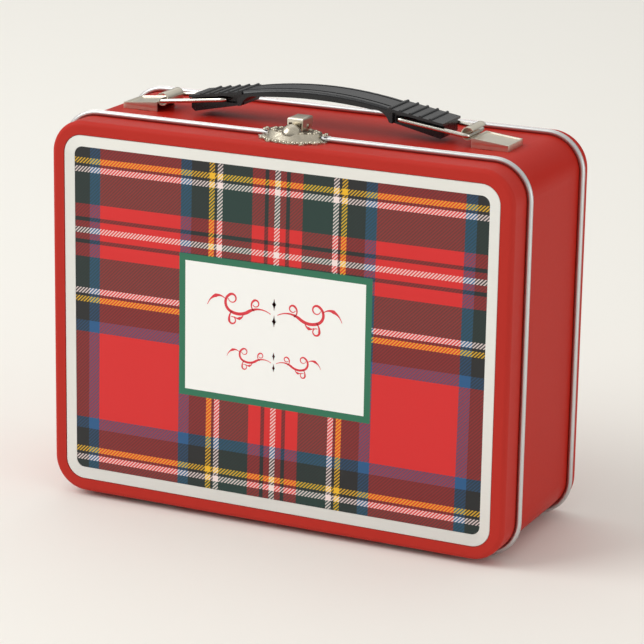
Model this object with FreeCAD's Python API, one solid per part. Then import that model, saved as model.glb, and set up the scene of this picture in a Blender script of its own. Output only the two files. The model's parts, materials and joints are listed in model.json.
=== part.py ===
"""Carry tin for cookies: a shallow tinplate case with a hinged front lid, a top latch and a handle.

Frame: millimetres, +X to the right, +Y to the back, +Z up.
Origin: under the middle of the case, level with the lowest points of the two rim beads.
"""
import FreeCAD
import Part

import math
import os

V = FreeCAD.Vector

# --- case: outer sizes of the sheet, without the beads ---
case_width = 195.0
case_height = 152.1
case_depth = 76.2
corner_radius = 13.5
sheet = 0.4                   # tinplate
press_radius = 2.0            # rounding pressed round the front of the lid and the back panel

# --- rim beads: a rolled ring at each end of the band ---
bead_radius = 1.1
bead_gap = 0.02
front_bead_back = 13.2        # from the lid's front face to the bead's middle
rear_bead_back = 67.9

# --- lid ---
lid_rim_gap = 0.25            # parting line between the lid's rim and the front bead
lip_clearance = 0.3           # between the lid's wall and the lip it closes over
lip_front = 8.6               # the lip starts this far behind the lid's front face
seat_width = 184.2            # recess pressed into the lid's face for the frame plate
seat_height = 141.5
seat_radius = 7.9
seat_depth = 1.6

# --- frame plate and printed panel ---
plate_width = 183.7
plate_height = 141.0
plate_radius = 7.6
plate_proud_y = 0.3           # the plate's outer edge lies this far behind the lid's face
panel_width = 175.1
panel_height = 131.8
panel_radius = 3.4
panel_front_y = 0.9
panel_back_y = 1.2
bevel_inner_y = 0.8

# --- back panel ---
back_overhang = 1.0           # the back panel's wall stands this far outside the band
back_boss_width = 168.0
back_boss_height = 125.0
back_boss_radius = 8.0
back_boss_rise = 0.8
plug_clearance = 0.05         # between the back panel's plug and the band
plug_length = 6.0

# --- lid hinge: two stations of three knuckles on the front bead's line ---
hinge_station_x = 55.0
knuckle_radius = 1.1
knuckle_bore = 0.65
hinge_pin_radius = 0.60
hinge_half = 10.0
lid_knuckle_half = 3.1
knuckle_gap = 0.3
leaf_length = 9.0

# --- handle brackets ---
bracket_inner_x = 67.0
bracket_outer_x = 82.3
bracket_half_y = 7.45
bracket_high = 4.15
bracket_low = 2.45
bracket_sheet = 0.6
barrel_x = 65.8
barrel_z = 5.25               # above the case's top
barrel_outer = 2.2
barrel_bore = 1.75
barrel_half_y = 6.6
tab_x0 = 71.0
tab_x1 = 76.0
tab_reach = 3.0

# --- wire loops ---
wire_radius = 0.9
wire_z = 4.5                  # the crossbar's height above the case's top
wire_leg_y = 7.9
wire_leg = 29.0               # crossbar to tip
wire_tip_y = 5.0
wire_bend = 1.6
wire_rise_deg = 7.0

# --- handle ---
handle_x = 1.8                # the handle hangs a little to one side in its slack wires
grip_top = 15.1
grip_end_x = 31.0
grip_end_z = 12.1
grip_half_y = 8.0
groove_y0 = 4.4               # a groove runs lengthwise near each side of the bow
groove_y1 = 5.6
groove_depth = 0.5
pad_end_x = 54.2
pad_end_z = 8.3
pad_half_y = 8.6
pad_thick = 1.2               # at its inner end
pad_end_thick = 0.9
web_half_y = 6.5
rib_count = 5
rib_first_x = 32.2
rib_pitch = 4.15
rib_radius = 0.6
slot_x0 = 34.0
slot_x1 = 42.5
slot_z0 = 6.75
slot_z1 = 9.15
slot_floor_y = 4.6

# --- latch ---
latch_x = 2.2                 # the latch is fixed a little to one side of the middle
latch_sheet = 0.6
rosette_a = 13.0
rosette_front_b = 10.8
rosette_rear_b = 9.6
rosette_gap = 0.15            # from the bead's middle to each half's straight edge
lobe_radius = 1.9
dish_top = 3.2                # the plates rise in a dish over the bead
dish_foot_in = 1.2
dish_top_in_x = 2.2
dish_top_in_y = 4.2
window_half_x = 4.4           # the base stays flat here, under the hasp
boss_radius = 4.1
boss_y_back = 9.6
boss_top = 6.2
bead_clear_z = 2.6            # what crosses the bead stays above this height
bead_clear_y = 1.35
nose_half_x = 1.8
nose_y0 = 13.6
nose_y1 = 14.4
tongue_z0 = 3.2
tongue_z1 = 4.4
nose_top = 6.0
hasp_half_x = 3.3
hasp_front = 12.7
hasp_rear = 21.4
hasp_top = 8.0
hasp_bottom = 2.6
hasp_edge = 0.8
lip_bottom = 6.2
hasp_pin_y = 17.5
hasp_pin_z = 4.5
hasp_pin_radius = 0.8
hasp_pin_bore = 0.85
hasp_pin_half = 3.7
ear_outer_x = 2.6
ear_radius = 1.7
rivet_x = 11.4
rivet_shank = 0.6
rivet_head = 1.0
keeper_rivet_reach = 6.0      # from the bead's middle
base_rivet_reach = 5.3

# --- places worked out from the sizes above ---
front = -case_depth / 2
back = case_depth / 2
bottom = 2 * bead_radius + bead_gap
top = bottom + case_height
mid_z = bottom + case_height / 2
front_bead_y = front + front_bead_back
rear_bead_y = front + rear_bead_back
lid_rim_y = front_bead_y - bead_radius - lid_rim_gap
band_front_y = front_bead_y - bead_radius
band_rear_y = rear_bead_y + bead_radius + bead_gap
keeper_rivet_y = front_bead_y - keeper_rivet_reach
base_rivet_y = front_bead_y + base_rivet_reach


def rounded_prism(width, height, radius, y0, y1):
    """A rounded rectangle in XZ, centred on the case, drawn from y0 to y1."""
    x = width / 2
    z = height / 2
    s = radius * (1 - math.sqrt(0.5))
    corners = [(x, z, 1, 1), (-x, z, -1, 1), (-x, -z, -1, -1), (x, -z, 1, -1)]
    edges = []
    last = None
    first = None
    for cx, cz, sx, sz in corners:
        side = V(cx, y0, mid_z + cz - sz * radius)
        level = V(cx - sx * radius, y0, mid_z + cz)
        middle = V(cx - sx * s, y0, mid_z + cz - sz * s)
        start, end = (side, level) if sx == sz else (level, side)
        if last is not None:
            edges.append(Part.LineSegment(last, start).toShape())
        else:
            first = start
        edges.append(Part.Arc(start, middle, end).toShape())
        last = end
    edges.append(Part.LineSegment(last, first).toShape())
    return Part.Face(Part.Wire(edges)).extrude(V(0, y1 - y0, 0))


def round_rim(shape, y, radius):
    """Rounds every edge of the shape that lies in the plane at y."""
    rim = [e for e in shape.Edges if abs(e.BoundBox.YMin - y) < 1e-4 and abs(e.BoundBox.YMax - y) < 1e-4]
    return shape.makeFillet(radius, rim)


def ring(width, height, radius, wall, y0, y1):
    """A sheet ring: the rounded rectangle less the same shape one wall smaller."""
    outer = rounded_prism(width, height, radius, y0, y1)
    inner = rounded_prism(width - 2 * wall, height - 2 * wall, radius - wall, y0 - 1, y1 + 1)
    return outer.cut(inner)


def box(x0, x1, y0, y1, z0, z1):
    return Part.makeBox(x1 - x0, y1 - y0, z1 - z0, V(x0, y0, z0))


def rod(radius, start, end):
    run = end.sub(start)
    return Part.makeCylinder(radius, run.Length, start, run)


def slab(points, y0, y1):
    """A flat outline of (x, z) points in XZ, drawn from y0 to y1."""
    loop = [V(x, y0, z) for x, z in points]
    return Part.Face(Part.makePolygon(loop + loop[:1])).extrude(V(0, y1 - y0, 0))


def side_slab(points, x0, x1):
    """A flat outline of (y, z) points in YZ, drawn from x0 to x1."""
    loop = [V(x0, y, z) for y, z in points]
    return Part.Face(Part.makePolygon(loop + loop[:1])).extrude(V(x1 - x0, 0, 0))


def tidy(shape):
    return shape.removeSplitter()


# ---------------------------------------------------------------- case

def bead_ring(y):
    """A round ring that follows the case's outline, standing on its outside."""
    offset = bead_radius + bead_gap
    x = case_width / 2 + offset
    z = case_height / 2 + offset
    turn = corner_radius + offset
    pieces = []
    for sign in (1, -1):
        pieces.append(rod(bead_radius, V(turn - x, y, mid_z + sign * z), V(x - turn, y, mid_z + sign * z)))
        pieces.append(rod(bead_radius, V(sign * x, y, mid_z + turn - z), V(sign * x, y, mid_z + z - turn)))
    for sx in (1, -1):
        for sz in (1, -1):
            corner = Part.makeTorus(turn, bead_radius, V(0, 0, 0), V(0, -1, 0))
            quarter = box(0, 2 * turn, -2, 2, 0, 2 * turn)
            if sx < 0:
                quarter = quarter.mirror(V(0, 0, 0), V(1, 0, 0))
            if sz < 0:
                quarter = quarter.mirror(V(0, 0, 0), V(0, 0, 1))
            corner = corner.common(quarter)
            corner.translate(V(sx * (x - turn), y, mid_z + sz * (z - turn)))
            pieces.append(corner)
    return tidy(pieces[0].fuse(pieces[1:]))


def front_rim_bead():
    """The front bead, cut away where the hinge knuckles take its place."""
    shape = bead_ring(front_bead_y)
    reach = hinge_half + knuckle_gap
    for sign in (1, -1):
        x = sign * hinge_station_x
        shape = shape.cut(box(x - reach, x + reach, front_bead_y - 3, front_bead_y + 3, -1, bottom))
    return shape


def body_band():
    """The case's wall, stepped in at the front to make the lip that the lid closes over."""
    step = sheet + lip_clearance
    lip_width = case_width - 2 * step
    lip_height = case_height - 2 * step
    wall = ring(case_width, case_height, corner_radius, sheet, band_front_y, band_rear_y)
    lip = ring(lip_width, lip_height, corner_radius - step, sheet, front + lip_front, band_front_y + sheet)
    shelf = ring(case_width, case_height, corner_radius, step + sheet, band_front_y, band_front_y + sheet)
    shape = wall.fuse([lip, shelf])
    for sx in (1, -1):
        for sy in (1, -1):
            x = sorted((sx * (tab_x0 - 0.2), sx * (tab_x1 + 0.2)))
            y = sorted((sy * (bracket_half_y - bracket_sheet - 0.1), sy * (bracket_half_y + 0.1)))
            shape = shape.cut(box(x[0], x[1], y[0], y[1], top - 2, top + 1))
    for hole in rivet_shanks(base_rivet_y, rivet_shank + 0.05):
        shape = shape.cut(hole)
    return tidy(shape)


def back_panel():
    """A pressed pan with a raised middle, plugged into the band's rear end."""
    width = case_width + 2 * back_overhang
    height = case_height + 2 * back_overhang
    radius = corner_radius + back_overhang
    face_y = back - back_boss_rise
    pan_y = band_rear_y + 0.05
    pan = round_rim(rounded_prism(width, height, radius, pan_y, face_y), face_y, press_radius)
    hollow = rounded_prism(width - 2 * sheet, height - 2 * sheet, radius - sheet, pan_y - 1, face_y - sheet)
    hollow = round_rim(hollow, face_y - sheet, press_radius - sheet)
    pan = pan.cut(hollow)
    boss = rounded_prism(back_boss_width, back_boss_height, back_boss_radius, face_y - sheet, back)
    boss_in = rounded_prism(back_boss_width - 2 * sheet, back_boss_height - 2 * sheet,
                            back_boss_radius - sheet, face_y - 2, back - sheet)
    inset = sheet + plug_clearance
    plug = ring(case_width - 2 * inset, case_height - 2 * inset, corner_radius - inset, sheet,
                pan_y - plug_length, pan_y + sheet)
    shelf = ring(width, height, radius, back_overhang + inset + sheet, pan_y, pan_y + sheet)
    return tidy(pan.fuse([boss]).cut(boss_in).fuse([plug, shelf]))


# ---------------------------------------------------------------- lid

def lid_shell():
    """A pressed tray with a rounded front edge and a sunk seat for the frame plate."""
    outer = rounded_prism(case_width, case_height, corner_radius, front, lid_rim_y)
    outer = round_rim(outer, front, press_radius)
    hollow = rounded_prism(case_width - 2 * sheet, case_height - 2 * sheet, corner_radius - sheet,
                           front + sheet, lid_rim_y + 1)
    hollow = round_rim(hollow, front + sheet, press_radius - sheet)
    seat_back = rounded_prism(seat_width + 2 * sheet, seat_height + 2 * sheet, seat_radius + sheet,
                              front + sheet / 2, front + seat_depth + sheet)
    seat = rounded_prism(seat_width, seat_height, seat_radius, front - 1, front + seat_depth)
    shape = outer.cut(hollow).fuse([seat_back]).cut(seat)
    for hole in rivet_shanks(keeper_rivet_y, rivet_shank + 0.05):
        shape = shape.cut(hole)
    return tidy(shape)


def frame_plate():
    """The bright plate in the lid's seat: a border that slopes in to a shallow pocket."""
    plate = rounded_prism(plate_width, plate_height, plate_radius, front + plate_proud_y, front + seat_depth)
    slope = Part.makeLoft([
        outline(plate_width - 0.6, plate_height - 0.6, plate_radius - 0.3, front + plate_proud_y - 0.001),
        outline(panel_width, panel_height, panel_radius, front + bevel_inner_y),
    ], True)
    pocket = rounded_prism(panel_width + 0.1, panel_height + 0.1, panel_radius, front - 1, front + panel_back_y)
    return tidy(plate.cut(slope).cut(pocket))


def outline(width, height, radius, y):
    """The rounded rectangle as a closed wire at y."""
    face = [f for f in rounded_prism(width, height, radius, y, y + 1).Faces if f.BoundBox.YMax < y + 0.5][0]
    return face.OuterWire


def printed_panel():
    return rounded_prism(panel_width, panel_height, panel_radius, front + panel_front_y, front + panel_back_y)


# ---------------------------------------------------------------- lid hinge

def knuckle(x0, x1):
    return rod(knuckle_radius, V(x0, front_bead_y, bead_radius), V(x1, front_bead_y, bead_radius))


def hinge_leaves(direction, spans):
    """Both stations' leaves of one half: direction -1 runs forward under the lid, 1 back under the band."""
    shapes = []
    for sign in (1, -1):
        x = sign * hinge_station_x
        near = front_bead_y + direction * (knuckle_radius + knuckle_gap)
        far = front_bead_y + direction * leaf_length
        y = sorted((near, far))
        leaf = box(x - hinge_half, x + hinge_half, y[0], y[1], bottom - sheet, bottom)
        pieces = []
        for x0, x1 in spans:
            y = sorted((front_bead_y, near))
            pieces.append(box(x + x0, x + x1, y[0], y[1], bottom - sheet, bottom))
            pieces.append(knuckle(x + x0, x + x1))
        leaf = leaf.fuse(pieces)
        bore = rod(knuckle_bore, V(x - 20, front_bead_y, bead_radius), V(x + 20, front_bead_y, bead_radius))
        shapes.append(tidy(leaf.cut(bore)))
    return Part.makeCompound(shapes)


def hinge_leaf_lid():
    return hinge_leaves(-1, [(-lid_knuckle_half, lid_knuckle_half)])


def hinge_leaf_body():
    inner = lid_knuckle_half + knuckle_gap
    return hinge_leaves(1, [(-hinge_half, -inner), (inner, hinge_half)])


def hinge_pins():
    pins = []
    for sign in (1, -1):
        x = sign * hinge_station_x
        pins.append(rod(hinge_pin_radius, V(x - hinge_half, front_bead_y, bead_radius),
                        V(x + hinge_half, front_bead_y, bead_radius)))
    return Part.makeCompound(pins)


# ---------------------------------------------------------------- handle brackets and wires

def bracket_right():
    """A stamped wedge-shaped cap, rolled into a barrel at its inner end and clinched through the band."""
    t = bracket_sheet
    skirt = [(bracket_inner_x, top), (bracket_inner_x, top + bracket_high),
             (bracket_outer_x, top + bracket_low), (bracket_outer_x, top)]
    hollow = [(bracket_inner_x - 1, top - 1), (bracket_inner_x - 1, top + bracket_high - t + 0.13),
              (bracket_outer_x - t, top + bracket_low - t + 0.08), (bracket_outer_x - t, top - 1)]
    cap = slab(skirt, -bracket_half_y, bracket_half_y)
    high = [e for e in cap.Edges if e.BoundBox.ZMin > top + 2.0 and e.BoundBox.YLength < 0.01]
    cap = cap.makeFillet(0.5, high)
    cap = cap.cut(slab(hollow, t - bracket_half_y, bracket_half_y - t))
    axis_z = top + barrel_z
    barrel = rod(barrel_outer, V(barrel_x, -barrel_half_y, axis_z), V(barrel_x, barrel_half_y, axis_z))
    bore = rod(barrel_bore, V(barrel_x, -20, axis_z), V(barrel_x, 20, axis_z))
    tabs = []
    for sign in (1, -1):
        y = sorted((sign * bracket_half_y, sign * (bracket_half_y - t)))
        tabs.append(box(tab_x0, tab_x1, y[0], y[1], top - sheet - t, top + 0.1))
        y = sorted((sign * bracket_half_y, sign * (bracket_half_y - tab_reach)))
        tabs.append(box(tab_x0, tab_x1, y[0], y[1], top - sheet - t, top - sheet))
    return tidy(cap.fuse([barrel] + tabs).cut(bore))


def bracket_left():
    return bracket_right().mirror(V(0, 0, 0), V(1, 0, 0))


def wire_loop_right():
    """A U of round wire: the crossbar turns in the barrel and both tips turn in to the handle."""
    r = wire_bend
    c = r * (1 - math.sqrt(0.5))
    y = wire_leg_y
    x = -wire_leg
    points = [
        ("line", (x, wire_tip_y), (x, y - r)),
        ("arc", (x, y - r), (x + c, y - c), (x + r, y)),
        ("line", (x + r, y), (-r, y)),
        ("arc", (-r, y), (-c, y - c), (0, y - r)),
        ("line", (0, y - r), (0, r - y)),
        ("arc", (0, r - y), (-c, c - y), (-r, -y)),
        ("line", (-r, -y), (x + r, -y)),
        ("arc", (x + r, -y), (x + c, c - y), (x, r - y)),
        ("line", (x, r - y), (x, -wire_tip_y)),
    ]
    edges = []
    for kind, *stops in points:
        stops = [V(px, py, 0) for px, py in stops]
        maker = Part.LineSegment if kind == "line" else Part.Arc
        edges.append(maker(*stops).toShape())
    path = Part.Wire(edges)
    section = Part.Wire([Part.Circle(V(x, wire_tip_y, 0), V(0, 1, 0), wire_radius).toShape()])
    loop = path.makePipeShell([section], True, False)
    loop.rotate(V(0, 0, 0), V(0, 1, 0), wire_rise_deg)
    loop.translate(V(barrel_x, 0, top + wire_z))
    return loop


def wire_loop_left():
    return wire_loop_right().mirror(V(0, 0, 0), V(1, 0, 0))


# ---------------------------------------------------------------- handle

def grip_bow():
    """The bowed middle of the handle, with a flare under each end down to the web's foot."""
    under_x = 24.5
    under_z = 10.6
    foot_x = 31.6
    foot_z = 6.4
    side_x = 33.0
    side_z = 11.4
    edges = [Part.Arc(V(-grip_end_x, 0, grip_end_z), V(0, 0, grip_top), V(grip_end_x, 0, grip_end_z))]
    edges.append(Part.LineSegment(V(grip_end_x, 0, grip_end_z), V(side_x, 0, side_z)))
    edges.append(Part.LineSegment(V(side_x, 0, side_z), V(side_x, 0, foot_z - 0.3)))
    edges.append(Part.LineSegment(V(side_x, 0, foot_z - 0.3), V(foot_x, 0, foot_z)))
    edges.append(Part.Arc(V(foot_x, 0, foot_z), V(29.6, 0, 9.3), V(under_x, 0, under_z)))
    edges.append(Part.Arc(V(under_x, 0, under_z), V(0, 0, 12.0), V(-under_x, 0, under_z)))
    edges.append(Part.Arc(V(-under_x, 0, under_z), V(-29.6, 0, 9.3), V(-foot_x, 0, foot_z)))
    edges.append(Part.LineSegment(V(-foot_x, 0, foot_z), V(-side_x, 0, foot_z - 0.3)))
    edges.append(Part.LineSegment(V(-side_x, 0, foot_z - 0.3), V(-side_x, 0, side_z)))
    edges.append(Part.LineSegment(V(-side_x, 0, side_z), V(-grip_end_x, 0, grip_end_z)))
    face = Part.Face(Part.Wire([edge.toShape() for edge in edges]))
    face.translate(V(0, -grip_half_y, 0))
    bow = face.extrude(V(0, 2 * grip_half_y, 0))
    upper = [e for e in bow.Edges if e.BoundBox.ZMax > grip_top - 0.1 and e.BoundBox.YLength < 0.01]
    bow = bow.makeFillet(1.2, upper)
    rise = grip_top - grip_end_z
    bow_radius = (grip_end_x ** 2 + rise ** 2) / (2 * rise)
    for y0 in (groove_y0, -groove_y1):
        middle = V(0, y0, grip_top - bow_radius)
        width = groove_y1 - groove_y0
        groove = Part.makeCylinder(bow_radius + 1, width, middle, V(0, 1, 0))
        groove = groove.cut(Part.makeCylinder(bow_radius - groove_depth, width, middle, V(0, 1, 0)))
        bow = bow.cut(groove.common(box(-grip_end_x, grip_end_x, -20, 20, 0, 20)))
    return bow


def handle_end():
    """The right end of the handle: a ribbed pad over a narrow web, with a slot for the wire's tip."""
    pad = slab([(grip_end_x, grip_end_z), (pad_end_x, pad_end_z), (pad_end_x, pad_end_z - pad_end_thick),
                (grip_end_x, grip_end_z - pad_thick)], -pad_half_y, pad_half_y)
    web = slab([(grip_end_x, grip_end_z - 0.5), (grip_end_x, 6.55), (52.5, 1.9), (54.0, 3.2),
                (54.0, pad_end_z - 0.5)], -web_half_y, web_half_y)
    shape = pad.fuse([web])
    fall = (pad_end_z - grip_end_z) / (pad_end_x - grip_end_x)
    for i in range(rib_count):
        x = rib_first_x + i * rib_pitch
        z = grip_end_z + fall * (x - grip_end_x)
        shape = shape.fuse(rod(rib_radius, V(x, -pad_half_y, z), V(x, pad_half_y, z)))
    for sign in (1, -1):
        y = sorted((sign * slot_floor_y, sign * (web_half_y + 0.1)))
        shape = shape.cut(box(slot_x0, slot_x1, y[0], y[1], slot_z0, slot_z1))
    return tidy(shape)


def handle_grip():
    """One moulding: the bow and its two ends."""
    end = handle_end()
    other = end.mirror(V(0, 0, 0), V(1, 0, 0))
    shape = tidy(grip_bow().fuse([end, other]))
    shape.translate(V(handle_x, 0, top))
    return shape


# ---------------------------------------------------------------- latch

def oval_wire(a, b, z):
    return Part.Wire([Part.Ellipse(V(latch_x, front_bead_y, top + z), a, b).toShape()])


def dish(b, lower):
    """The raised middle of a latch plate, which stands over the bead."""
    foot = oval_wire(rosette_a - dish_foot_in, b - dish_foot_in, latch_sheet - lower)
    crown = oval_wire(rosette_a - dish_top_in_x, b - dish_top_in_y, dish_top - lower)
    return Part.makeLoft([foot, crown], True, True)


def rosette(b, direction):
    """Half of the latch's lobed oval: direction -1 lies on the lid and 1 on the body."""
    plate = Part.Face(oval_wire(rosette_a, b, 0)).extrude(V(0, 0, latch_sheet))
    for degrees in (14, 33, 58):
        turn = math.radians(degrees)
        for sign in (1, -1):
            x = latch_x + sign * rosette_a * math.cos(turn)
            y = front_bead_y + direction * b * math.sin(turn)
            radius = lobe_radius * (1 - degrees / 300)
            plate = plate.fuse(Part.makeCylinder(radius, latch_sheet, V(x, y, top)))
    shape = plate.fuse(dish(b, 0)).cut(dish(b, latch_sheet))
    near = front_bead_y + direction * rosette_gap
    keep = sorted((near, near + direction * 30))
    shape = shape.common(box(-40, 40, keep[0], keep[1], top, top + 9))
    return shape.cut(box(-40, 40, front_bead_y - bead_clear_y, front_bead_y + bead_clear_y,
                         top - 1, top + bead_clear_z))


def rivet_shanks(y, radius):
    """The two rivets of a latch plate, as plain shanks through the sheet."""
    return [rod(radius, V(latch_x + s * rivet_x, y, top - 1.2), V(latch_x + s * rivet_x, y, top + 0.9))
            for s in (1, -1)]


def rivets(y):
    """Two flat rivets with a head on the plate and an upset end inside the sheet."""
    shapes = []
    for shank, sign in zip(rivet_shanks(y, rivet_shank), (1, -1)):
        x = latch_x + sign * rivet_x
        head = rod(rivet_head, V(x, y, top + latch_sheet), V(x, y, top + latch_sheet + 0.6))
        upper = [e for e in head.Edges if e.BoundBox.ZMin > top + latch_sheet + 0.5]
        head = head.makeFillet(0.35, upper)
        upset = rod(rivet_head, V(x, y, top - sheet - 0.8), V(x, y, top - sheet))
        shapes.append(tidy(shank.fuse([head, upset])))
    return Part.makeCompound(shapes)


def keeper_plate():
    """The lid's half of the latch: a lobed dish, a round boss and the nose that the hasp covers."""
    plate = rosette(rosette_front_b, -1)
    boss_y = front + boss_y_back
    dome = Part.makeSphere(boss_radius, V(latch_x, boss_y, top + boss_top - boss_radius))
    boss = dome.common(box(-40, 40, -80, 80, top + bead_clear_z, top + 20))
    tongue = box(latch_x - nose_half_x, latch_x + nose_half_x, boss_y, front + nose_y1,
                 top + tongue_z0, top + tongue_z1)
    nose = box(latch_x - nose_half_x, latch_x + nose_half_x, front + nose_y0, front + nose_y1,
               top + tongue_z0, top + nose_top)
    shape = plate.fuse([boss, tongue, nose])
    for hole in rivet_shanks(keeper_rivet_y, rivet_shank):
        shape = shape.cut(hole)
    return tidy(shape)


def keeper_rivets():
    return rivets(keeper_rivet_y)


def latch_base():
    """The body's half of the latch: a lobed dish, flat under the hasp, with two ears for its pin."""
    shape = rosette(rosette_rear_b, 1)
    pin_y = front + hasp_pin_y
    pin_z = top + hasp_pin_z
    window = box(latch_x - window_half_x, latch_x + window_half_x, front_bead_y, front_bead_y + 20, top, top + 9)
    seat = Part.Face(oval_wire(rosette_a, rosette_rear_b, 0)).extrude(V(0, 0, latch_sheet)).common(window)
    seat = seat.cut(box(-40, 40, -80, front_bead_y + bead_clear_y, top - 1, top + 9))
    shape = shape.cut(window).fuse(seat)
    for sign in (1, -1):
        x = sorted((latch_x + sign * ear_outer_x, latch_x + sign * (ear_outer_x - latch_sheet)))
        foot = [(pin_y - ear_radius, top), (pin_y + ear_radius, top),
                (pin_y + ear_radius, pin_z), (pin_y - ear_radius, pin_z)]
        round_end = rod(ear_radius, V(x[0], pin_y, pin_z), V(x[1], pin_y, pin_z))
        shape = shape.fuse([side_slab(foot, x[0], x[1]), round_end])
    shape = shape.cut(rod(hasp_pin_bore, V(-20, pin_y, pin_z), V(20, pin_y, pin_z)))
    for hole in rivet_shanks(base_rivet_y, rivet_shank):
        shape = shape.cut(hole)
    return tidy(shape)


def latch_base_rivets():
    return rivets(base_rivet_y)


def hasp_pin():
    y = front + hasp_pin_y
    z = top + hasp_pin_z
    return rod(hasp_pin_radius, V(latch_x - hasp_pin_half, y, z), V(latch_x + hasp_pin_half, y, z))


def hasp():
    """A stamped cap: a top and two cheeks on the pin, with a lip along the top of its mouth."""
    t = latch_sheet
    x0 = latch_x - hasp_half_x
    x1 = latch_x + hasp_half_x
    y0 = front + hasp_front
    y1 = front + hasp_rear
    pin_y = front + hasp_pin_y
    pin_z = top + hasp_pin_z
    over_dish = top + dish_top + 0.3
    cheek = [(y0, over_dish), (front_bead_y + 0.4, over_dish),
             (pin_y - 0.5, top + hasp_bottom - 0.4), (pin_y + 1.5, top + hasp_bottom),
             (y1 - 0.3, pin_z - 0.4), (y1, pin_z + 1.0), (y1, top + hasp_top), (y0, top + hasp_top)]
    shell = side_slab(cheek, x0, x1)
    upper = [e for e in shell.Edges if e.BoundBox.ZMin > top + hasp_top - 0.01]
    shell = shell.makeFillet(hasp_edge, upper)
    inside = side_slab([(y0 + t, top), (y1 + 1, top), (y1 + 1, top + hasp_top - t), (y0 + t, top + hasp_top - t)],
                       x0 + t, x1 - t)
    mouth = box(x0 + t, x1 - t, y0 - 1, y0 + t + 0.1, top, top + lip_bottom)
    bore = rod(hasp_pin_bore, V(-20, pin_y, pin_z), V(20, pin_y, pin_z))
    return tidy(shell.cut(inside).cut(mouth).cut(bore))


parts = {
    "body_band": body_band,
    "front_rim_bead": front_rim_bead,
    "rear_rim_bead": lambda: bead_ring(rear_bead_y),
    "back_panel": back_panel,
    "hinge_leaf_body": hinge_leaf_body,
    "hinge_pins": hinge_pins,
    "bracket_left": bracket_left,
    "bracket_right": bracket_right,
    "latch_base": latch_base,
    "latch_base_rivets": latch_base_rivets,
    "hasp_pin": hasp_pin,
    "hasp": hasp,
    "lid_shell": lid_shell,
    "frame_plate": frame_plate,
    "printed_panel": printed_panel,
    "hinge_leaf_lid": hinge_leaf_lid,
    "keeper_plate": keeper_plate,
    "keeper_rivets": keeper_rivets,
    "handle_grip": handle_grip,
    "wire_loop_left": wire_loop_left,
    "wire_loop_right": wire_loop_right,
}

os.makedirs("parts", exist_ok=True)
for name, make in parts.items():
    shape = make()
    shape.exportStep(f"parts/{name}.step")
    b = shape.BoundBox
    print(f"{name:18} solids {len(shape.Solids)} valid {shape.isValid()} volume {shape.Volume:9.1f}"
          f"  x {b.XMin:7.2f} {b.XMax:7.2f}  y {b.YMin:7.2f} {b.YMax:7.2f}  z {b.ZMin:7.2f} {b.ZMax:7.2f}")
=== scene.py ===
# %% [markdown]
# # A carry tin for cookies
# The tin is a shallow case of red enamelled tinplate. Its lid is a pressed tray with a printed panel in a
# bright frame, and it carries a latch, two rim beads and a black handle on wire loops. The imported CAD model
# already holds every piece at its place, so this lesson dresses it: it gives each piece a finish, and it
# remakes in Blender the pieces whose shape needs more than the CAD gives. We load that model first, because
# everything else takes its place and its size from it.

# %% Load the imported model
import json
import math

import bmesh
import bpy
from mathutils import Matrix, Vector


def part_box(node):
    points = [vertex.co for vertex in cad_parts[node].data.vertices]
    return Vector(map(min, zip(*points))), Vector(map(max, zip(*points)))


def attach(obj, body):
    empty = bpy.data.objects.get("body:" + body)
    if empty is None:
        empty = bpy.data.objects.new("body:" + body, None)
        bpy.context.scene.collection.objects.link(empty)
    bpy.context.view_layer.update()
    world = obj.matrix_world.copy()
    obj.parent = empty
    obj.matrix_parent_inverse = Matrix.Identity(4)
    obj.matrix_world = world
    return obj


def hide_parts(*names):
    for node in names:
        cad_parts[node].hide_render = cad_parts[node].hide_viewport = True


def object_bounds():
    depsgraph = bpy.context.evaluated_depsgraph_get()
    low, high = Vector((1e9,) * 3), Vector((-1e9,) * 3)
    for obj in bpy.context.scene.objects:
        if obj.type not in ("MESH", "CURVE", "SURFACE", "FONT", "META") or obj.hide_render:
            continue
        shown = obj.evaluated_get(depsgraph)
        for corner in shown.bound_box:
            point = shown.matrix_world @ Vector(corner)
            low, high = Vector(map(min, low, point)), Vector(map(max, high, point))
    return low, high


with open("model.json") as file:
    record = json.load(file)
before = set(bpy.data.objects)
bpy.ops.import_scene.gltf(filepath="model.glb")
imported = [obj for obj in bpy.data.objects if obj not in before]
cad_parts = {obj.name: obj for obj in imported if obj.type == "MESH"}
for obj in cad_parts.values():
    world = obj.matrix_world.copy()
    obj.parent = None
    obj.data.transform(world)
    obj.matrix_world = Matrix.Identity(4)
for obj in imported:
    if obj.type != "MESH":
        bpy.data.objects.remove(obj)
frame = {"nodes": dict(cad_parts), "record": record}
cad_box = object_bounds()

MM = 0.001
case_low, case_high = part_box("body_band")
panel_low, panel_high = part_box("printed_panel")
panel_middle = (panel_low + panel_high) / 2
print("pieces loaded:", len(frame["nodes"]))
print("the CAD box measures", [round(v, 4) for v in cad_box[1] - cad_box[0]])

# %% [markdown]
# ## Helpers for shader nodes
# A material is a small network of nodes. Writing each node in full takes many lines, so two helpers do the
# wiring: one adds a node and sets or links its inputs, and one adds a sum or a product.

# %% Node helpers
def add_node(tree, kind, inputs=None, **settings):
    made = tree.nodes.new(kind)
    for setting, value in settings.items():
        setattr(made, setting, value)
    for socket, value in (inputs or {}).items():
        if isinstance(value, bpy.types.NodeSocket):
            tree.links.new(value, made.inputs[socket])
        else:
            made.inputs[socket].default_value = value
    return made


def maths(tree, operation, first, second=0.5):
    return add_node(tree, "ShaderNodeMath", {0: first, 1: second}, operation=operation).outputs[0]


def blend_colours(tree, factor, first, second, mode="MIX"):
    made = add_node(tree, "ShaderNodeMix", {"Factor": factor}, data_type="RGBA", blend_type=mode)
    for index, value in ((6, first), (7, second)):
        if isinstance(value, bpy.types.NodeSocket):
            tree.links.new(value, made.inputs[index])
        else:
            made.inputs[index].default_value = value
    return made.outputs[2]


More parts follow.
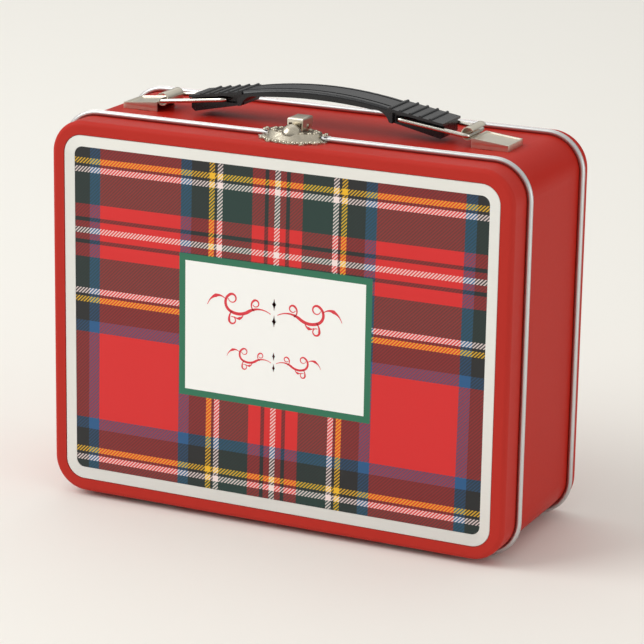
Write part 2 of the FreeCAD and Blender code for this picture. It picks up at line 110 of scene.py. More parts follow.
def linear(red, green, blue):
    """A colour as seen on a screen, from 0 to 255, in the linear values that a shader takes."""
    parts = [c / 255 for c in (red, green, blue)]
    return tuple(p / 12.92 if p <= 0.04045 else ((p + 0.055) / 1.055) ** 2.4 for p in parts) + (1.0,)


print("helpers ready")

# %% [markdown]
# ## Two effects that many finishes share
# Paint, plating and plastic are never perfectly even. A shader node group holds such an effect once, with
# named inputs and outputs, and each material sets its own values on it. "uneven finish" gives slow blotches
# for tone and fine grain for gloss. "drawn lines" gives long thin scratches along one direction, as rolling
# or brushing leaves them on metal. Both only put out values, so that any shader can use them.

# %% Shared node groups
def new_group(name, inputs, outputs):
    group = bpy.data.node_groups.new(name, "ShaderNodeTree")
    for label, kind, value in inputs:
        socket = group.interface.new_socket(name=label, in_out="INPUT", socket_type=kind)
        socket.default_value = value
    for label in outputs:
        group.interface.new_socket(name=label, in_out="OUTPUT", socket_type="NodeSocketFloat")
    return group, group.nodes.new("NodeGroupInput"), group.nodes.new("NodeGroupOutput")


uneven, given, result = new_group(
    "uneven finish",
    [("Blotch Scale", "NodeSocketFloat", 20.0), ("Grain Scale", "NodeSocketFloat", 900.0)],
    ["Blotches", "Grain"],
)
place = uneven.nodes.new("ShaderNodeTexCoord").outputs["Object"]
for label, source in (("Blotches", "Blotch Scale"), ("Grain", "Grain Scale")):
    scale = given.outputs[source]
    noise = add_node(uneven, "ShaderNodeTexNoise", {"Vector": place, "Scale": scale, "Detail": 3.0})
    uneven.links.new(noise.outputs["Fac"], result.inputs[label])

drawn, given, result = new_group(
    "drawn lines",
    [("Squeeze", "NodeSocketVector", (20.0, 900.0, 900.0)), ("Fineness", "NodeSocketFloat", 1.0)],
    ["Lines"],
)
place = drawn.nodes.new("ShaderNodeTexCoord").outputs["Object"]
squeezed = add_node(
    drawn, "ShaderNodeVectorMath", {0: place, 1: given.outputs["Squeeze"]}, operation="MULTIPLY"
)
noise = add_node(
    drawn, "ShaderNodeTexNoise",
    {"Vector": squeezed.outputs[0], "Scale": given.outputs["Fineness"], "Detail": 4.0, "Roughness": 0.6},
)
drawn.links.new(noise.outputs["Fac"], result.inputs["Lines"])
print("groups:", [group.name for group in bpy.data.node_groups])

# %% [markdown]
# ## A finish maker
# Most of the tin's finishes are one base colour that drifts a little, a gloss that drifts with the grain,
# and a very low bump. One function can therefore make them all, with a row of numbers for each finish. What
# never changes over the surface, such as how metallic it is, is set on the shader itself.

# %% Finish maker
def finish(name, colour, roughness, metallic=0.0, drift=0.06, gloss_drift=0.08, bump=0.02,
           relief_mm=0.1, blotch=20.0, grain=900.0, shine=0.5, lines=None, line_depth=0.0):
    """A material whose tone varies by "drift" and whose roughness varies by "gloss_drift" about a mean."""
    material = bpy.data.materials.new(name)
    material.use_nodes = True
    tree = material.node_tree
    shader = tree.nodes["Principled BSDF"]
    shader.inputs["Metallic"].default_value = metallic
    shader.inputs["Specular IOR Level"].default_value = shine
    effect = add_node(tree, "ShaderNodeGroup", node_tree=uneven)
    effect.inputs["Blotch Scale"].default_value = blotch
    effect.inputs["Grain Scale"].default_value = grain
    darker = tuple(c * (1 - drift) for c in colour[:3]) + (1.0,)
    lighter = tuple(min(1.0, c * (1 + drift)) for c in colour[:3]) + (1.0,)
    tone = blend_colours(tree, effect.outputs["Blotches"], darker, lighter)
    height = effect.outputs["Grain"]
    gloss = maths(tree, "MULTIPLY", effect.outputs["Grain"], gloss_drift)
    if lines:
        strokes = add_node(tree, "ShaderNodeGroup", node_tree=drawn)
        strokes.inputs["Squeeze"].default_value = lines
        darkening = maths(tree, "MULTIPLY", strokes.outputs["Lines"], line_depth)
        tone = blend_colours(tree, darkening, tone, darker, "MULTIPLY")
        height = maths(tree, "ADD", height, strokes.outputs["Lines"])
    tree.links.new(tone, shader.inputs["Base Color"])
    rough = maths(tree, "ADD", gloss, roughness - gloss_drift / 2)
    tree.links.new(rough, shader.inputs["Roughness"])
    relief = add_node(
        tree, "ShaderNodeBump", {"Height": height, "Strength": bump, "Distance": relief_mm * MM}
    )
    tree.links.new(relief.outputs["Normal"], shader.inputs["Normal"])
    return material


print("finish maker ready")

# %% [markdown]
# ## The finishes
# - Red enamel is baked paint on smooth tinplate: satin, with a faint orange-peel. The lid's red is painted
#   a little paler, as a painted sheen for the haze of the bright floor that its face mirrors.
# - Bare tin is bright, with drawn lines along its length.
# - The frame's plate is a pale satin metal with fine grain.
# - Nickel plate on the pressed fittings is warm grey and semi-bright; the wire is brighter.
# - The latch's two plates are stamped all over, so their nickel has a deeper relief. Its darker tone and
#   stronger drift of tone are painted shade: the blotches share the grain's scale, so the tone darkens where
#   the relief sinks.
# - The handle's black plastic is semi-gloss, with a very faint unevenness.

# %% The finishes
red_enamel = finish(
    "red enamel", linear(181, 38, 27), 0.42, shine=0.06, drift=0.05, blotch=14.0, grain=700.0, bump=0.03
)
# The lid's paler red is a painted sheen: it stands in for the haze of the bright floor in the lid's face.
lid_enamel_painted_sheen = finish(
    "lid enamel painted sheen", linear(186, 52, 44), 0.42, shine=0.05, drift=0.05, blotch=14.0, grain=700.0, bump=0.03
)
bare_tin = finish(
    "bare tin", linear(212, 212, 212), 0.44, metallic=1.0, bump=0.05,
    lines=(15.0, 1500.0, 1500.0), line_depth=0.3,
)
bright_plate = finish(
    "bright plate", linear(240, 240, 237), 0.40, metallic=1.0, drift=0.04, gloss_drift=0.2, grain=2600.0,
    bump=0.12, lines=(60.0, 60.0, 2200.0), line_depth=0.25,
)
nickel_plate = finish(
    "nickel plate", linear(222, 215, 199), 0.33, metallic=1.0, drift=0.10, gloss_drift=0.10,
    blotch=160.0, grain=420.0, bump=0.02,
)
# Painted shade: a darker base, and blotches at the grain's own scale, so the tone darkens in the relief's
# hollows.
embossed_nickel_painted_shade = finish(
    "embossed nickel painted shade", linear(192, 184, 167), 0.26, metallic=1.0, drift=0.25, gloss_drift=0.16,
    blotch=420.0, grain=420.0, bump=0.9, relief_mm=0.2,
)
nickel_wire = finish(
    "nickel wire", linear(214, 210, 200), 0.20, metallic=1.0, drift=0.06, gloss_drift=0.1, bump=0.03
)
black_plastic = finish(
    "black plastic", linear(24, 26, 29), 0.27, drift=0.15, gloss_drift=0.06, grain=400.0, bump=0.01,
    shine=0.45,
)
hinge_steel = finish(
    "hinge steel", linear(188, 187, 184), 0.34, metallic=1.0, bump=0.05,
    lines=(1200.0, 40.0, 1200.0), line_depth=0.3,
)
print("finishes:", [material.name for material in bpy.data.materials if material.use_nodes])

# %% [markdown]
# ## The printed panel
# The panel is printed with a woven check, and a plain label sits in its middle. A real check repeats one
# list of stripe widths across the cloth and the same list down it, mirrored at each end of the list, and a
# twill weave lets the upright threads and the level threads show in turn on slanting lines. So the shader
# does what a loom does: a ping-pong of the distance runs along the list and back, a colour ramp with hard
# steps holds the list, and a slanted mask chooses the thread. The label is two boxes: the distance from the
# middle is compared with half of each size.

# %% Print: stripe list and threads
sett = [
    ("white", 1.0), ("red", 2.6), ("black", 1.5), ("red", 5.5), ("green", 12.7), ("white", 2.2),
    ("black", 1.3), ("yellow", 2.2), ("black", 7.7), ("blue", 4.7), ("red", 17.9),
]
thread = {
    "white": linear(246, 226, 222), "red": linear(216, 24, 26), "black": linear(18, 20, 22),
    "green": linear(10, 50, 44), "yellow": linear(240, 184, 22), "blue": linear(20, 84, 134),
}
half_repeat = sum(width for _, width in sett)
upright_pivot = 0.35          # the upright stripes mirror this far right of the panel's middle, in mm
upright_lean = 0.011          # and they lean to the right by this much for each mm upwards
level_pivot = 32.75           # the level stripes mirror this far above the middle
level_lean = 0.0035           # and they rise by this much for each mm to the right
twill_pitch = 1.4
dark_contrast = 0.10          # how far the slanting lines swing from an even mix, on dark threads
bright_contrast = 0.46        # and on white and yellow threads
screen_gamma = 2.2
label_outer = (82.3, 57.3)
label_inner = (77.0, 52.0)

printed_face = bpy.data.materials.new("printed face")
printed_face.use_nodes = True
tree = printed_face.node_tree
shader = tree.nodes["Principled BSDF"]
place = add_node(tree, "ShaderNodeTexCoord").outputs["Object"]
centred = add_node(
    tree, "ShaderNodeVectorMath", {0: place, 1: tuple(-c for c in panel_middle)}, operation="ADD"
).outputs[0]
in_mm = add_node(tree, "ShaderNodeVectorMath", {0: centred, "Scale": 1 / MM}, operation="SCALE").outputs[0]
axes = add_node(tree, "ShaderNodeSeparateXYZ", {0: in_mm})
across, upward = axes.outputs["X"], axes.outputs["Z"]


def stripes(distance):
    """The colour of a thread at this distance from the pivot of the list."""
    along = maths(tree, "PINGPONG", distance, half_repeat)
    ramp = add_node(tree, "ShaderNodeValToRGB", {0: maths(tree, "DIVIDE", along, half_repeat)})
    ramp.color_ramp.interpolation = "CONSTANT"
    start = 0.0
    stops = ramp.color_ramp.elements
    for index, (colour, width) in enumerate(sett):
        stop = stops[0] if index == 0 else stops.new(start / half_repeat)
        stop.color = thread[colour]
        start += width
    stops.remove(stops[-1])
    return ramp.outputs["Color"]


def inside(size):
    """1 within a box of that width and height round the panel's middle, and 0 outside it."""
    wide = maths(tree, "LESS_THAN", maths(tree, "ABSOLUTE", across), size[0] / 2)
    high = maths(tree, "LESS_THAN", maths(tree, "ABSOLUTE", upward), size[1] / 2)
    return maths(tree, "MULTIPLY", wide, high)


leaning = maths(tree, "ADD", maths(tree, "MULTIPLY", upward, upright_lean), upright_pivot)
rising = maths(tree, "ADD", maths(tree, "MULTIPLY", across, level_lean), level_pivot)
upright = stripes(maths(tree, "SUBTRACT", across, leaning))
level = stripes(maths(tree, "SUBTRACT", upward, rising))
slant = maths(tree, "MULTIPLY", maths(tree, "SUBTRACT", across, upward), 2 * math.pi / twill_pitch)
brightness = [add_node(tree, "ShaderNodeSeparateColor", {0: c}).outputs["Green"] for c in (level, upright)]
contrast = maths(tree, "ADD", maths(tree, "MAXIMUM", *brightness), dark_contrast)
contrast = maths(tree, "MINIMUM", contrast, bright_contrast)
over = maths(tree, "ADD", maths(tree, "MULTIPLY", maths(tree, "SINE", slant), contrast), 0.5)
as_seen = [
    add_node(tree, "ShaderNodeGamma", {"Color": c, "Gamma": 1 / screen_gamma}).outputs[0]
    for c in (level, upright)
]
cloth = blend_colours(tree, over, *as_seen)
cloth = add_node(tree, "ShaderNodeGamma", {"Color": cloth, "Gamma": screen_gamma}).outputs[0]
print("stripe list", len(sett), "long, repeat", round(2 * half_repeat, 1), "mm")

# %% [markdown]
# The label covers the check, and the whole print lies under one clear gloss. A faint grain in the gloss
# keeps the surface from looking like glass, and it is fine enough to stay out of the colours.

# %% Print: label and gloss
printed = blend_colours(tree, inside(label_outer), cloth, linear(32, 112, 82))
printed = blend_colours(tree, inside(label_inner), printed, linear(250, 250, 247))
effect = add_node(tree, "ShaderNodeGroup", node_tree=uneven)
effect.inputs["Blotch Scale"].default_value = 12.0
effect.inputs["Grain Scale"].default_value = 1500.0
tree.links.new(printed, shader.inputs["Base Color"])
print_roughness = 0.26
print_drift = 0.08
gloss = maths(tree, "MULTIPLY", effect.outputs["Blotches"], print_drift)
tree.links.new(maths(tree, "ADD", gloss, print_roughness), shader.inputs["Roughness"])
relief = add_node(
    tree, "ShaderNodeBump",
    {"Height": effect.outputs["Grain"], "Strength": 0.02, "Distance": 0.05 * MM},
)
tree.links.new(relief.outputs["Normal"], shader.inputs["Normal"])
print("label", label_outer, "mm")

# %% [markdown]
# ## Give every CAD piece its finish
# The record names a material slot for each piece. A table from slot to material is enough to paint them
# all, and no piece is forgotten, because the loop reads the record itself. Three pieces have a finish of
# their own. The lid's red is painted a little paler than the case's, as a painted sheen that stands in for
# the haze of the bright floor mirrored in the lid's face. Both plates of the latch have a fine stamped
# grain on top of the lobes and rings that are modelled further on, in a nickel with painted shade that
# darkens where that grain sinks.

# %% Paint the CAD pieces
finish_of_slot = {
    "red_enamel": red_enamel, "bare_tin": bare_tin, "bright_plate": bright_plate,
    "printed_face": printed_face, "nickel_plate": nickel_plate, "nickel_wire": nickel_wire,
    "black_moulding": black_plastic, "hinge_steel": hinge_steel,
}
finish_of_node = {"lid_shell": lid_enamel_painted_sheen, "keeper_plate": embossed_nickel_painted_shade, "latch_base": embossed_nickel_painted_shade}
for part in frame["record"]["subparts"]:
    material = finish_of_node.get(part["node"], finish_of_slot[part["material_slot"]])
    for material_slot in frame["nodes"][part["node"]].material_slots:
        material_slot.material = material

# %% [markdown]
# ## Helpers for modelling
# The new pieces are modelled as by hand: a primitive is added, then parts of it are picked and pushed,
# extruded or spun. An operator acts on all that is selected, so every piece starts by deselecting
# everything, and "pick" selects by place. The primitive's place is put into its mesh at once, so that
# places in edit mode are places on the tin.

# %% Modelling helpers
def new_piece(name, primitive, **settings):
    bpy.ops.object.select_all(action="DESELECT")
    primitive(**settings)
    bpy.ops.object.transform_apply(location=True, rotation=True, scale=True)
    piece = bpy.context.object
    piece.name = name
    bpy.ops.object.mode_set(mode="EDIT")
    return piece


def pick(kind, test):
    """Selects the vertices, edges or faces whose middle passes the test."""
    bpy.ops.mesh.select_mode(type=kind)
    bpy.ops.mesh.select_all(action="DESELECT")
    mesh = bmesh.from_edit_mesh(bpy.context.object.data)
    chosen = {"VERT": mesh.verts, "EDGE": mesh.edges, "FACE": mesh.faces}[kind]
    for item in chosen:
        if kind == "VERT":
            middle = item.co
        elif kind == "EDGE":
            middle = (item.verts[0].co + item.verts[1].co) / 2
        else:
            middle = item.calc_center_median()
        item.select_set(bool(test(middle)))
    mesh.select_flush(True)
    bmesh.update_edit_mesh(bpy.context.object.data)


def push(x=0.0, y=0.0, z=0.0):
    bpy.ops.transform.translate(value=(x, y, z))


def draw_out(x=0.0, y=0.0, z=0.0):
    bpy.ops.mesh.extrude_region_move(TRANSFORM_OT_translate={"value": (x, y, z)})


def add_modifier(piece, kind, **settings):
    bpy.ops.object.mode_set(mode="OBJECT")
    modifier = piece.modifiers.new(kind.lower(), kind)
    for setting, value in settings.items():
        setattr(modifier, setting, value)
    bpy.ops.object.modifier_apply(modifier=modifier.name)


def complete(piece, body, material, smooth=40.0):
    """Smooths the piece, paints it and lets it ride on its body."""
    if piece.mode != "OBJECT":
        bpy.ops.object.mode_set(mode="OBJECT")
    bpy.ops.object.select_all(action="DESELECT")
    piece.select_set(True)
    bpy.context.view_layer.objects.active = piece
    bpy.ops.object.shade_smooth_by_angle(angle=math.radians(smooth))
    piece.data.materials.clear()
    piece.data.materials.append(material)
    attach(piece, body)
    print(piece.name, "has", len(piece.data.polygons), "faces and rides on", body)


def copy_of(piece, resize=(1, 1, 1), move=(0, 0, 0)):
    """A copy with its own mesh, resized about the origin and then moved."""
    bpy.ops.object.select_all(action="DESELECT")
    piece.select_set(True)
    bpy.context.view_layer.objects.active = piece
    bpy.ops.object.duplicate(linked=False)
    bpy.ops.object.mode_set(mode="EDIT")
    bpy.ops.mesh.select_all(action="SELECT")
    bpy.ops.transform.resize(value=resize, center_override=(0, 0, 0))
    push(*move)
    if min(resize) < 0:
        bpy.ops.mesh.flip_normals()
    bpy.ops.object.mode_set(mode="OBJECT")
    return bpy.context.object


def tidy_mesh():
    """Merges doubled vertices and turns every face outwards."""
    bpy.ops.mesh.select_all(action="SELECT")
    bpy.ops.mesh.remove_doubles(threshold=0.005 * MM)
    bpy.ops.mesh.normals_make_consistent(inside=False)


print("modelling helpers ready")

# %% [markdown]
# ## The rim beads
# Each bead is the tinplate's rolled edge. It looks like two thin rolls side by side with a fine groove
# between them, and it follows the case all round. A sweep makes such a piece: one ring of vertices in the
# shape of the section is drawn out along each straight and spun round each corner. The front bead stops at
# both hinge stations, where the knuckles take its place.

# %% Bead section and sweep
corner_radius = 13.5 * MM
groove_depth = 0.60 * MM
corner_steps = 12
clearance = 0.3 * MM
station_width = 20.6 * MM
case_middle_z = (case_low.z + case_high.z) / 2


def bead(name, node, starts):
    """Sweeps the section once for each (begin, end) along X, all the way round unless begin is less."""
    low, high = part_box(node)
    y = (low.y + high.y) / 2
    radius = (high.y - low.y) / 2
    side_x = case_high.x - corner_radius
    side_z = (case_high.z - case_low.z) / 2 - corner_radius
    turns = [(side_x, -side_z), (side_x, side_z), (-side_x, side_z), (-side_x, -side_z)]
    straights = [(0, 0, 2 * side_z), (-2 * side_x, 0, 0), (0, 0, -2 * side_z)]
    made = []
    for begin, end in starts:
        ring = new_piece(
            name, bpy.ops.mesh.primitive_circle_add, vertices=24, radius=radius,
            location=(begin, y, low.z + radius), rotation=(0, math.pi / 2, 0),
        )
        pick("VERT", lambda p: p.z < low.z + 0.01 * radius)
        push(z=groove_depth)
        pick("VERT", lambda p: True)
        if begin < end:
            draw_out(x=end - begin)
        else:
            draw_out(x=side_x - begin)
            for index, (x, z) in enumerate(turns):
                bpy.ops.mesh.spin(
                    steps=corner_steps, angle=math.pi / 2, center=(x, y, case_middle_z + z), axis=(0, 1, 0)
                )
                if index < len(straights):
                    draw_out(*straights[index])
            draw_out(x=end + side_x)
        tidy_mesh()
        bpy.ops.mesh.fill_holes(sides=0)
        bpy.ops.mesh.normals_make_consistent(inside=False)
        bpy.ops.object.mode_set(mode="OBJECT")
        made.append(ring)
    for ring in made:
        ring.select_set(True)
    if len(made) > 1:
        bpy.ops.object.join()
    piece = bpy.context.object
    piece.name = name
    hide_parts(node)
    complete(piece, "case", bare_tin, smooth=50.0)


gap_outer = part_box("hinge_pins")[1].x + clearance
gap_inner = gap_outer - station_width
bead("rim_bead_front", "front_rim_bead", [(-gap_inner, gap_inner), (gap_outer, -gap_outer)])
bead("rim_bead_rear", "rear_rim_bead", [(0.0, 0.0)])

# %% [markdown]
# ## The handle's brackets
# Each bracket is one strip of nickel-plated steel: a wedge-shaped cap with a raised border, whose inner end
# is rolled into a barrel for the wire. It starts as a box with the cap's outline. The outer end of its top
# is lowered, the top is inset and its middle sunk for the border, and the skirts are subdivided and
# crimped. The bottom and the inner end are removed, because a pressing is hollow, and the top's free edge
# is spun round the barrel's axis, as the press rolls it.

# %% Bracket
barrel_x = 65.3 * MM
barrel_above = 5.1 * MM
cap_inner_x = 67.2 * MM
cap_inner_above = 4.0 * MM
cap_outer_above = 2.45 * MM
cap_sheet = 0.45 * MM
cap_edge = 0.14 * MM
border = 0.8 * MM
sink_slope = 0.2 * MM
sink_depth = 0.45 * MM
crimps = 9
crimp_depth = 0.18 * MM
crimp_top = 1.9 * MM
barrel_half_y = 6.6 * MM
barrel_turn = 300
near = 0.1 * MM

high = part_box("bracket_right")[1]
case_top = case_high.z
half_y = high.y - cap_sheet
cap_length = high.x - cap_inner_x
cap = new_piece(
    "bracket_cap_right", bpy.ops.mesh.primitive_cube_add, size=1.0,
    location=(cap_inner_x + cap_length / 2, 0, case_top + cap_inner_above / 2),
    scale=(cap_length, 2 * high.y, cap_inner_above),
)
pick("VERT", lambda p: p.x > cap_inner_x + near and p.z > case_top + near)
push(z=cap_outer_above - cap_inner_above)
pick("FACE", lambda p: p.z < case_top + near or p.x < cap_inner_x + near)
bpy.ops.mesh.delete(type="FACE")
pick("FACE", lambda p: abs(p.y) > half_y)
bpy.ops.mesh.subdivide(number_cuts=crimps)
pitch = cap_length / (crimps + 1)
for side in (1, -1):
    pick("VERT", lambda p: p.y * side > half_y and p.z < case_top + crimp_top
         and round((p.x - cap_inner_x) / pitch) % 2 == 1)
    push(y=-side * crimp_depth)
pick("FACE", lambda p: abs(p.y) < half_y and p.z > case_top + crimp_top and p.x < high.x - near)
bpy.ops.mesh.inset(thickness=border)
bpy.ops.mesh.inset(thickness=sink_slope)
push(z=-sink_depth)
pick("EDGE", lambda p: abs(p.x - cap_inner_x) < near / 2 and abs(p.y) < high.y
     and p.z > case_top + cap_inner_above - near / 2)
bpy.ops.mesh.spin(
    steps=22, angle=math.radians(-barrel_turn), center=(barrel_x, 0, case_top + barrel_above),
    axis=(0, 1, 0),
)
pick("VERT", lambda p: p.x < cap_inner_x - near / 2 or p.z > case_top + cap_inner_above + near / 2)
bpy.ops.transform.resize(value=(1, barrel_half_y / high.y, 1), center_override=(0, 0, 0))
bpy.ops.mesh.select_all(action="SELECT")
bpy.ops.mesh.remove_doubles(threshold=0.005 * MM)
add_modifier(cap, "SOLIDIFY", thickness=cap_sheet, offset=-1.0)
add_modifier(cap, "BEVEL", width=cap_edge, segments=2, limit_method="ANGLE", angle_limit=math.radians(50))
cap_corners = cap.bound_box[0], cap.bound_box[6]
print("bracket cap between, in mm:", [[round(v / MM, 2) for v in corner] for corner in cap_corners])

# %% [markdown]
# The left bracket is the same pressing turned round. It is copied with its own mesh and mirrored, and a
# mirrored mesh is inside out, so its faces are turned again.

# %% Left bracket
other_cap = copy_of(cap, resize=(-1, 1, 1))
other_cap.name = "bracket_cap_left"
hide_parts("bracket_right")
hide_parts("bracket_left")
complete(cap, "case", nickel_plate, smooth=35.0)
complete(other_cap, "case", nickel_plate, smooth=35.0)

# %% [markdown]
# ## The latch's lobed rims
# Both plates of the latch have an ornamental rim of small rounded lobes, and small rings near their ends.
# One lobe is modelled: a disc whose top is inset and raised in two steps, so that it is domed. One ring is
# a torus. Copies of both are then set on each plate and joined, because they are one pressing with it. Both
# are made one millimetre in radius, so that a copy's size is simply its radius in millimetres.

# %% One lobe and one ring
lobe = new_piece(
    "lobe", bpy.ops.mesh.primitive_circle_add, vertices=14, radius=MM, fill_type="NGON", location=(0, 0, 0)
)
draw_out(z=0.45 * MM)
bpy.ops.mesh.inset(thickness=0.22 * MM)
push(z=0.30 * MM)
bpy.ops.mesh.inset(thickness=0.36 * MM)
push(z=0.16 * MM)
bpy.ops.mesh.select_all(action="SELECT")
bpy.ops.mesh.normals_make_consistent(inside=False)
bpy.ops.object.mode_set(mode="OBJECT")

ring = new_piece(
    "ring", bpy.ops.mesh.primitive_torus_add, major_segments=18, minor_segments=8,
    major_radius=0.72 * MM, minor_radius=0.30 * MM, location=(0, 0, 0),
)
bpy.ops.object.mode_set(mode="OBJECT")
print("one lobe has", len(lobe.data.polygons), "faces, and one ring has", len(ring.data.polygons))

# %% [markdown]
# The lobes follow the oval of each plate. Next to the rim bead the plate rises over it, so there the lobes
# are smaller and sit above the bead. The rings stand on the raised part of the plate, at its two ends.

# %% Set the lobes and rings
latch_x = sum(corner.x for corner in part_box("hasp_pin")) / 2
front_bead_y = sum(corner.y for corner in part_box("hinge_pins")) / 2
oval_x = 12.6 * MM
lobe_pitch = 8                # degrees round the oval
lobe_height = 0.4 * MM        # the lobes' foot above the case's top
bead_reach = 2.4 * MM         # nearer to the bead's middle than this, a lobe stands on the bead
bead_side = 0.95 * MM
dish_height = 3.2 * MM
ring_oval_x = 9.3 * MM
ring_oval_share = 0.46        # the rings' oval is this much as deep as the lobes'
ring_degrees = (15, 38, 61, 119, 142, 165)
bead_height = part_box("front_rim_bead")[1].z - case_top


def lobed_rim(name, body, oval_y, direction):
    """The trim of one plate. The direction is -1 for the lid's half and 1 for the case's."""
    made = []
    for degrees in range(0, 181, lobe_pitch):
        turn = math.radians(degrees)
        x = latch_x + oval_x * math.cos(turn)
        y = front_bead_y + direction * oval_y * math.sin(turn)
        z = case_top + lobe_height
        size = 1.0 if degrees % (2 * lobe_pitch) else 0.8
        if abs(y - front_bead_y) < bead_reach:
            y = front_bead_y + direction * bead_side
            z = case_top + bead_height + clearance
            size = 0.8
        made.append(copy_of(lobe, (size, size, size), (x, y, z)))
    for degrees in ring_degrees:
        turn = math.radians(degrees)
        x = latch_x + ring_oval_x * math.cos(turn)
        y = front_bead_y + direction * ring_oval_share * oval_y * math.sin(turn)
        made.append(copy_of(ring, move=(x, y, case_top + dish_height)))
    for piece in made:
        piece.select_set(True)
    bpy.ops.object.join()
    piece = bpy.context.object
    piece.name = name
    complete(piece, body, embossed_nickel_painted_shade, smooth=50.0)


lobed_rim("keeper_rim", "lid", 10.4 * MM, -1)
lobed_rim("latch_base_rim", "case", 9.2 * MM, 1)
bpy.data.objects.remove(lobe)
bpy.data.objects.remove(ring)

# %% [markdown]
# ## The ornament on the label
# The label carries a red scroll in two rows, like a printer's flourish. It is drawn as a pen would draw it:
# each stroke starts as a small plane, whose leading edge is drawn out again and again, turned a little and
# made wider or narrower. The strokes of one side are drawn, copied and mirrored, and the row below is a
# smaller copy. With no window, a turn needs its centre given, and it goes round the other way than the axis
# says.

# %% Pen strokes
nib = 0.25 * MM
label_front = panel_low.y


def stroke(start, heading, moves, width):
    """One stroke in the label's plane. A move is (times, length, turn in degrees, width at its end)."""
    place = Vector((panel_middle.x + start[0] * MM, label_front, panel_middle.z + start[1] * MM))
    turn = math.radians(heading)
    piece = new_piece(
        "stroke", bpy.ops.mesh.primitive_plane_add, size=nib, location=place, rotation=(math.pi / 2, 0, 0),
    )
    bpy.ops.transform.resize(value=(1, 1, width * MM / nib), center_override=place)
    bpy.ops.transform.rotate(value=turn, orient_axis="Y", center_override=place)
    ahead = Vector((math.cos(turn), 0, math.sin(turn)))
    pick("VERT", lambda p: (p - place).dot(ahead) > 0)
    place = place + ahead * nib / 2
    for times, length, bend, end_width in moves:
        swell = (end_width / width) ** (1 / times)
        width = end_width
        for _ in range(times):
            step = ahead * length * MM
            draw_out(*step)
            place = place + step
            bpy.ops.transform.rotate(value=math.radians(bend), orient_axis="Y", center_override=place)
            bpy.ops.transform.resize(value=(swell, 1, swell), center_override=place)
            turn += math.radians(bend)
            ahead = Vector((math.cos(turn), 0, math.sin(turn)))
    bpy.ops.object.mode_set(mode="OBJECT")
    return piece


upper_row = 9.7
lower_row = -10.0
lower_scale = 0.70
ink_thickness = 0.04 * MM

# each stroke: where it starts, its heading in degrees, its moves, and its first width
vine = [
    ((1.6, -0.6), 28,
     [(14, 0.68, -4.5, 1.3), (12, 0.68, 5, 1.2), (14, 0.62, 9.5, 1.0), (20, 0.42, 14.5, 0.3)], 0.3),
    ((8.6, -0.3), 40, [(10, 0.47, 11, 0.9), (18, 0.36, 15.5, 0.3)], 0.35),
    ((18.2, -1.6), -55, [(8, 0.45, -5, 1.0), (18, 0.40, -16.5, 0.3)], 0.4),
    ((21.0, 3.0), 38, [(8, 0.55, -8, 1.5), (10, 0.55, -5, 0.2)], 0.3),
    ((13.2, -2.4), -70, [(6, 0.4, 10, 1.3), (6, 0.4, 9, 0.2)], 0.3),
    ((0.0, 1.2), 90, [(6, 0.35, 0, 1.8), (6, 0.35, 0, 0.15)], 0.2),
    ((0.0, -1.2), -90, [(6, 0.35, 0, 1.8), (6, 0.35, 0, 0.15)], 0.2),
]
strokes = [stroke((x, z + upper_row), heading, moves, width) for (x, z), heading, moves, width in vine]
for piece in strokes:
    piece.select_set(True)
bpy.ops.object.join()
print("one side of the scroll has", len(bpy.context.object.data.polygons), "faces")

# %% [markdown]
# The copies are made in edit mode, where the mesh can be mirrored and shrunk about the middle of the label.
# The print lies on the panel as a film, so the strokes get a thickness of a few hundredths of a millimetre.

# %% Mirror, copy and thicken
scroll = bpy.context.object
scroll.name = "label_scroll"
middle = Vector((panel_middle.x, label_front, panel_middle.z))
row_middle = middle + Vector((0, 0, upper_row)) * MM
bpy.ops.object.mode_set(mode="EDIT")
bpy.ops.mesh.select_all(action="SELECT")
bpy.ops.mesh.duplicate()
bpy.ops.transform.resize(value=(-1, 1, 1), center_override=row_middle)
bpy.ops.mesh.flip_normals()
bpy.ops.mesh.select_all(action="SELECT")
bpy.ops.mesh.duplicate()
bpy.ops.transform.resize(value=(lower_scale, 1, lower_scale), center_override=row_middle)
push(z=(lower_row - upper_row) * MM)
bpy.ops.mesh.select_all(action="SELECT")
draw_out(y=-ink_thickness)
bpy.ops.mesh.select_all(action="SELECT")
bpy.ops.mesh.normals_make_consistent(inside=False)
scroll_red = finish("scroll red", linear(222, 44, 60), 0.30, drift=0.03, blotch=60.0, bump=0.01)
complete(scroll, "lid", scroll_red)

# %% [markdown]
# ## Floor, light and camera
# The tin stands on a plain pale floor. A wide soft light from the left and above models the sheet metal, a
# weaker one fills the right, and the surroundings are pale too, so that the bright metal has something
# light to mirror. The camera looks from the front right and a little above, with a long lens, so the case
# keeps its straight sides.

# %% Floor
bpy.ops.object.select_all(action="DESELECT")
bpy.ops.mesh.primitive_plane_add(size=12.0, location=(0.0, 0.0, cad_box[0].z))
floor = bpy.context.object
floor.name = "floor"
floor.data.materials.append(finish("pale floor", linear(238, 236, 230), 0.75, drift=0.004, bump=0.0))
print("floor at", round(cad_box[0].z, 4))


# %% Light
def soft_light(name, power, size, place, aim, colour=(1.0, 1.0, 1.0)):
    lamp = bpy.data.lights.new(name, "AREA")
    lamp.shape = "RECTANGLE"
    lamp.size, lamp.size_y = size
    lamp.energy = power
    lamp.color = colour
    holder = bpy.data.objects.new(name, lamp)
    bpy.context.scene.collection.objects.link(holder)
    holder.location = place
    holder.rotation_euler = (Vector(aim) - Vector(place)).to_track_quat("-Z", "Y").to_euler()


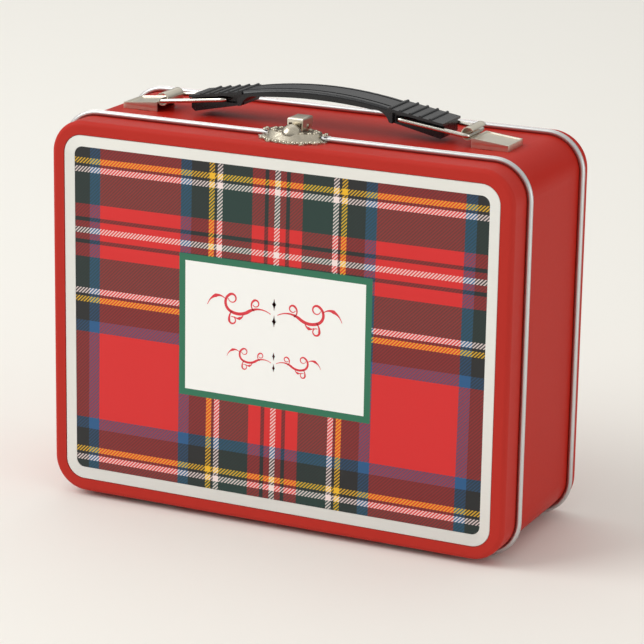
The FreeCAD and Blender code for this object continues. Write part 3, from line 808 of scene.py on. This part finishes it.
tin_middle = (0.0, 0.0, 0.08)
soft_light("key", 29.5, (1.6, 1.6), (-1.5, -1.05, 1.5), tin_middle, (1.0, 0.995, 0.985))
soft_light("overhead", 7.0, (2.4, 2.2), (-0.9, 1.0, 1.9), (-0.1, 0.3, 0.0))
soft_light("right fill", 4.5, (0.9, 0.4), (1.6, -0.2, 0.28), tin_middle)
world = bpy.data.worlds.new("pale studio")
world.use_nodes = True
sky = world.node_tree
direction = add_node(sky, "ShaderNodeTexCoord").outputs["Generated"]
height = add_node(sky, "ShaderNodeSeparateXYZ", {0: direction}).outputs["Z"]
wall = add_node(sky, "ShaderNodeValToRGB", {0: height})
low_wall, high_wall = wall.color_ramp.elements
low_wall.position = 0.05
low_wall.color = linear(120, 120, 122)
high_wall.position = 0.45
high_wall.color = linear(243, 242, 239)
sky.links.new(wall.outputs["Color"], sky.nodes["Background"].inputs["Color"])
sky.nodes["Background"].inputs["Strength"].default_value = 0.81
bpy.context.scene.world = world
bpy.context.scene.view_settings.view_transform = "Standard"
print("lights ready")

# %% Camera
camera_azimuth = math.radians(25.109)
camera_elevation = math.radians(15.986)
camera_roll = math.radians(0.949)
camera_distance = 1.1023
lens_mm = 160.325
aim = (cad_box[0] + cad_box[1]) / 2 + Vector((16.3, -28.5, -0.2)) * MM

back = Vector((
    math.sin(camera_azimuth) * math.cos(camera_elevation),
    -math.cos(camera_azimuth) * math.cos(camera_elevation),
    math.sin(camera_elevation),
))
right = (-back).cross(Vector((0, 0, 1))).normalized()
up = right.cross(-back)
level_right, level_up = right.copy(), up.copy()
right = math.cos(camera_roll) * level_right + math.sin(camera_roll) * level_up
up = math.cos(camera_roll) * level_up - math.sin(camera_roll) * level_right
turned = Matrix((right, up, back)).transposed().to_4x4()
camera = bpy.data.objects.new("camera", bpy.data.cameras.new("camera"))
bpy.context.scene.collection.objects.link(camera)
camera.matrix_world = Matrix.Translation(aim + camera_distance * back) @ turned
camera.data.lens = lens_mm
bpy.context.scene.camera = camera
print("camera at", [round(v, 3) for v in camera.location])
